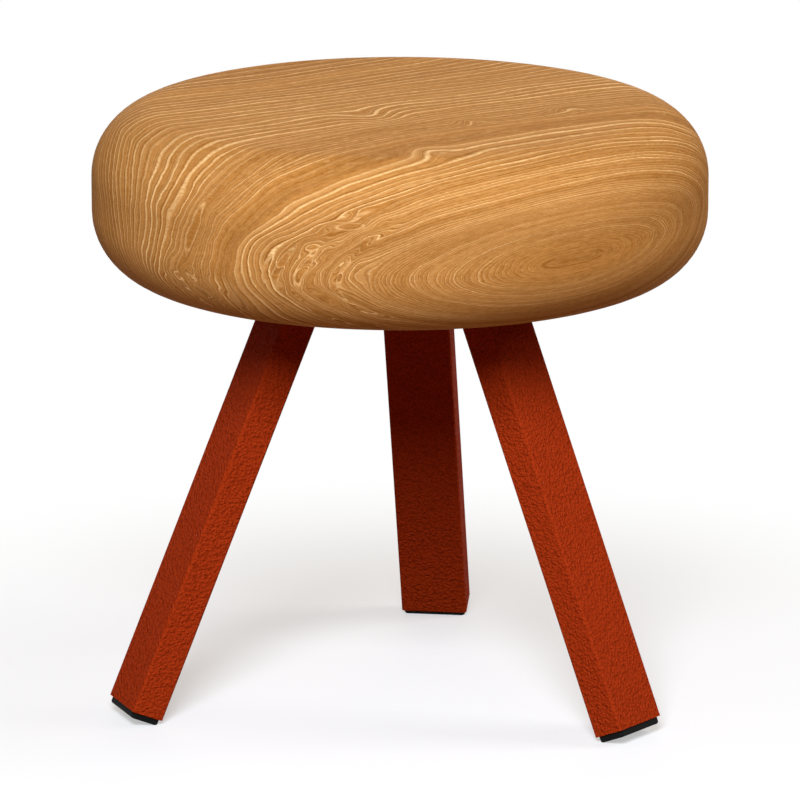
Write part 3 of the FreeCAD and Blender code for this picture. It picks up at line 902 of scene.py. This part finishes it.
def make_polyethylene():
    """Moulded black polyethylene, waxy and dull, with a fine grain drawn coarser than the real one."""
    material, tree, surface = new_material("polyethylene_moulded_black")
    coordinates = add_node(tree, "TexCoord")
    place = coordinates.outputs["Object"]
    grain = add_node(
        tree, "TexNoise", {"Vector": place, "Scale": 1 / (GRAIN_OF_PLASTIC * MM), "Detail": 2.0}
    )
    relief = add_node(
        tree, "Bump", {"Height": grain.outputs["Fac"], "Distance": PLASTIC_RELIEF * MM, "Strength": 1.0}
    )
    tree.links.new(relief.outputs[0], surface.inputs["Normal"])
    parts = add_node(tree, "SeparateXYZ", {0: place})
    rubbed = add_node(
        tree, "MapRange", {"Value": parts.outputs["Z"], "From Min": WEAR_HEIGHT * MM, "From Max": 0.0}
    )
    worn = add_node(tree, "Math", {0: rubbed, 1: grain.outputs["Fac"]}, operation="MULTIPLY")
    colour = add_node(
        tree, "Mix", {0: worn, 6: linear(PLASTIC_BLACK), 7: linear(PLASTIC_WORN)}, data_type="RGBA"
    )
    tree.links.new(colour.outputs[2], surface.inputs["Base Color"])
    roughness = add_node(
        tree,
        "MapRange",
        {"Value": grain.outputs["Fac"], "To Min": PLASTIC_ROUGH_LOW, "To Max": PLASTIC_ROUGH_HIGH},
    )
    tree.links.new(roughness.outputs[0], surface.inputs["Roughness"])
    surface.inputs["IOR"].default_value = 1.51
    surface.inputs["Specular IOR Level"].default_value = 0.04
    return material


polyethylene = make_polyethylene()
print("made", polyethylene.name)

# %% [markdown]
# ## Zinc and brass under the seat
# Screws and washers are zinc plated: a bright, slightly blue metal with a fine cloudy grain where the
# crystals of the zinc grew. The threaded inserts are turned from brass, and the turning tool leaves
# fine level grooves round them. A metal shows its colour only in reflections, so both vary the
# roughness as well as the colour.

# %% Zinc and brass
ZINC_BRIGHT, ZINC_DULL = "#C9CDD1", "#9EA3A8"
BRASS_BRIGHT, BRASS_DULL = "#D3AC58", "#A07A35"
ZINC_ROUGH, BRASS_ROUGH = 0.34, 0.3
# Sizes in millimetres.
ZINC_CLOUD = 1.2
TOOL_GROOVE = 0.4
METAL_RELIEF = 0.06
# Grooves are clouds that are drawn out sideways.
# Dull places are rougher than the metal's own value, and bright ones smoother.
GROOVE_SQUEEZE = (0.02, 0.02, 1.0)
NO_SQUEEZE = (1.0, 1.0, 1.0)
CLOUD_RANGE = (0.3, 0.7)
DULL_ROUGHER, BRIGHT_SMOOTHER = 0.12, 0.06


def make_metal(name, bright, dull, pattern_size, roughness, grooves):
    """Bare metal whose colour and roughness follow clouds or, on a turned part, level grooves."""
    material, tree, surface = new_material(name)
    coordinates = add_node(tree, "TexCoord")
    squeeze = GROOVE_SQUEEZE if grooves else NO_SQUEEZE
    place = add_node(
        tree, "VectorMath", {0: coordinates.outputs["Object"], 1: squeeze}, operation="MULTIPLY"
    )
    pattern = add_node(tree, "TexNoise", {"Vector": place, "Scale": 1 / (pattern_size * MM), "Detail": 3.0})
    low, high = CLOUD_RANGE
    share = add_node(tree, "MapRange", {"Value": pattern.outputs["Fac"], "From Min": low, "From Max": high})
    colour = add_node(tree, "Mix", {0: share, 6: linear(dull), 7: linear(bright)}, data_type="RGBA")
    tree.links.new(colour.outputs[2], surface.inputs["Base Color"])
    rough = add_node(
        tree,
        "MapRange",
        {"Value": share, "To Min": roughness + DULL_ROUGHER, "To Max": roughness - BRIGHT_SMOOTHER},
    )
    tree.links.new(rough.outputs[0], surface.inputs["Roughness"])
    relief = add_node(
        tree, "Bump", {"Height": pattern.outputs["Fac"], "Distance": METAL_RELIEF * MM, "Strength": 1.0}
    )
    tree.links.new(relief.outputs[0], surface.inputs["Normal"])
    surface.inputs["Metallic"].default_value = 1.0
    return material


zinc_steel = make_metal("steel_zinc_plated", ZINC_BRIGHT, ZINC_DULL, ZINC_CLOUD, ZINC_ROUGH, False)
brass = make_metal("brass_turned", BRASS_BRIGHT, BRASS_DULL, TOOL_GROOVE, BRASS_ROUGH, True)
print("made", zinc_steel.name, "and", brass.name)

# %% [markdown]
# ## Weld beads
# A leg's tube is welded to its plate all round, before the powder coat goes on. CAD draws the weld as a
# plain bevel, but a hand-run bead is a row of overlapping puddles, each frozen a little further along.
# So the bead replaces that solid: a bulging section is carried round the tube in small steps, and its
# size swells once for each puddle. The tube leans, so the section leans with it.

# %% Weld beads
# Sizes in millimetres, as the solids have them.
LEG_AZIMUTHS = {"back": 90, "left": 210, "right": 330}
LEG_TILT = math.radians(23)
LEG_TOP_RADIUS = 64.51
PLATE_FACE = 248.0
TUBE_HALF_DEPTH = 10 / math.cos(LEG_TILT)
TUBE_HALF_WIDTH = 20.0
TUBE_CORNER = 1.5
CORNER_STEPS = 4
BEAD_SIZE = 3.5
BEAD_STEP = 0.45
PUDDLE = 2.7
SECTION_STEPS = 6
# Share of the size that is left between two puddles, and a power that shapes the section: low ones bulge.
BEAD_LEAST = 0.86
BEAD_BULGE = 0.9
# Wavers of the hand: share of the size, radians in a millimetre, and 1 if it differs from leg to leg.
WAVERS = ((0.04, 0.31, 1), (0.03, 0.83, 0))


def tube_outline():
    """Points round the tube where it meets its plate, with the outward direction at each of them."""
    half = (TUBE_HALF_DEPTH - TUBE_CORNER, TUBE_HALF_WIDTH - TUBE_CORNER)
    points = []
    corners = ((1, 1, 0), (-1, 1, 90), (-1, -1, 180), (1, -1, 270))
    for number, (x_side, y_side, start) in enumerate(corners):
        centre = Vector((x_side * half[0], y_side * half[1], 0))
        for step in range(CORNER_STEPS + 1):
            angle = math.radians(start + 90 * step / CORNER_STEPS)
            outward = Vector((math.cos(angle), math.sin(angle), 0))
            points.append((centre + outward * TUBE_CORNER, outward))
        next_x, next_y, next_start = corners[(number + 1) % len(corners)]
        turn = math.radians(next_start)
        outward = Vector((math.cos(turn), math.sin(turn), 0))
        goal = Vector((next_x * half[0], next_y * half[1], 0)) + outward * TUBE_CORNER
        begin = points[-1][0]
        count = round((goal - begin).length / BEAD_STEP)
        for step in range(1, count):
            points.append((begin.lerp(goal, step / count), outward))
    return points


def bead_section(point, outward, size):
    """Section of the bead at one place: its bulging face, from the plate to the tube, and then its root."""
    section = []
    for step in range(SECTION_STEPS + 1):
        angle = math.pi / 2 * step / SECTION_STEPS
        drop = size * math.sin(angle) ** BEAD_BULGE
        reach = size * math.cos(angle) ** BEAD_BULGE
        section.append(point + outward * reach + Vector((drop * math.tan(LEG_TILT), 0, -drop)))
    section.append(point.copy())
    return section


def place_on_leg(spot, turn):
    """Place in metres of a point of the bead, at the top of the leg that stands at a turn."""
    x, y = spot.x + LEG_TOP_RADIUS, spot.y
    return (
        (x * math.cos(turn) - y * math.sin(turn)) * MM,
        (x * math.sin(turn) + y * math.cos(turn)) * MM,
        (PLATE_FACE + spot.z) * MM,
    )


def make_weld_bead(leg):
    """A closed ring of weld round the top of one leg."""
    turn = math.radians(LEG_AZIMUTHS[leg])
    shape = bmesh.new()
    rows = []
    travelled = 0.0
    before = None
    for point, outward in tube_outline():
        if before is not None:
            travelled += (point - before).length
        before = point
        puddle = math.sqrt(abs(math.sin(math.pi * travelled / PUDDLE)))
        waver = sum(share * math.sin(often * travelled + own * turn) for share, often, own in WAVERS)
        size = BEAD_SIZE * (BEAD_LEAST + (1 - BEAD_LEAST) * puddle + waver)
        section = bead_section(point, outward, size)
        rows.append([shape.verts.new(place_on_leg(spot, turn)) for spot in section])
    for row, next_row in zip(rows, rows[1:] + rows[:1]):
        for index in range(len(row)):
            following = (index + 1) % len(row)
            face = shape.faces.new((row[index], row[following], next_row[following], next_row[index]))
            face.smooth = index < SECTION_STEPS
    bmesh.ops.recalc_face_normals(shape, faces=shape.faces)
    mesh = bpy.data.meshes.new(f"{leg}_weld_bead")
    shape.to_mesh(mesh)
    shape.free()
    mesh.materials.append(powder_coat)
    bead = bpy.data.objects.new(f"{leg}_weld_bead", mesh)
    bpy.context.scene.collection.objects.link(bead)
    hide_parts(f"{leg}_leg_weld")
    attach(bead, "root")
    return bead


beads = [make_weld_bead(leg) for leg in LEGS]
print("beads:", ", ".join(f"{bead.name} with {len(bead.data.polygons)} faces" for bead in beads))

# %% [markdown]
# ## Dress the solids
# The other solids keep the shape that CAD gave them. Each gets the finish of what it is made of, in
# place of the plain colour that it came with.

# %% Dress the solids
FINISHES = {
    "leg_tube": powder_coat,
    "leg_plate": powder_coat,
    "foot_plug": polyethylene,
    "leg_screws": zinc_steel,
    "leg_washers": zinc_steel,
    "seat_inserts": brass,
}


def dress(node_name, material):
    """Give a solid its finish in every material slot."""
    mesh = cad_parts[node_name].data
    for index in range(len(mesh.materials)):
        mesh.materials[index] = material


dress("seat", elm)
for leg in LEGS:
    for piece, finish in FINISHES.items():
        dress(f"{leg}_{piece}", finish)
print("dressed", 1 + len(LEGS) * len(FINISHES), "solids")
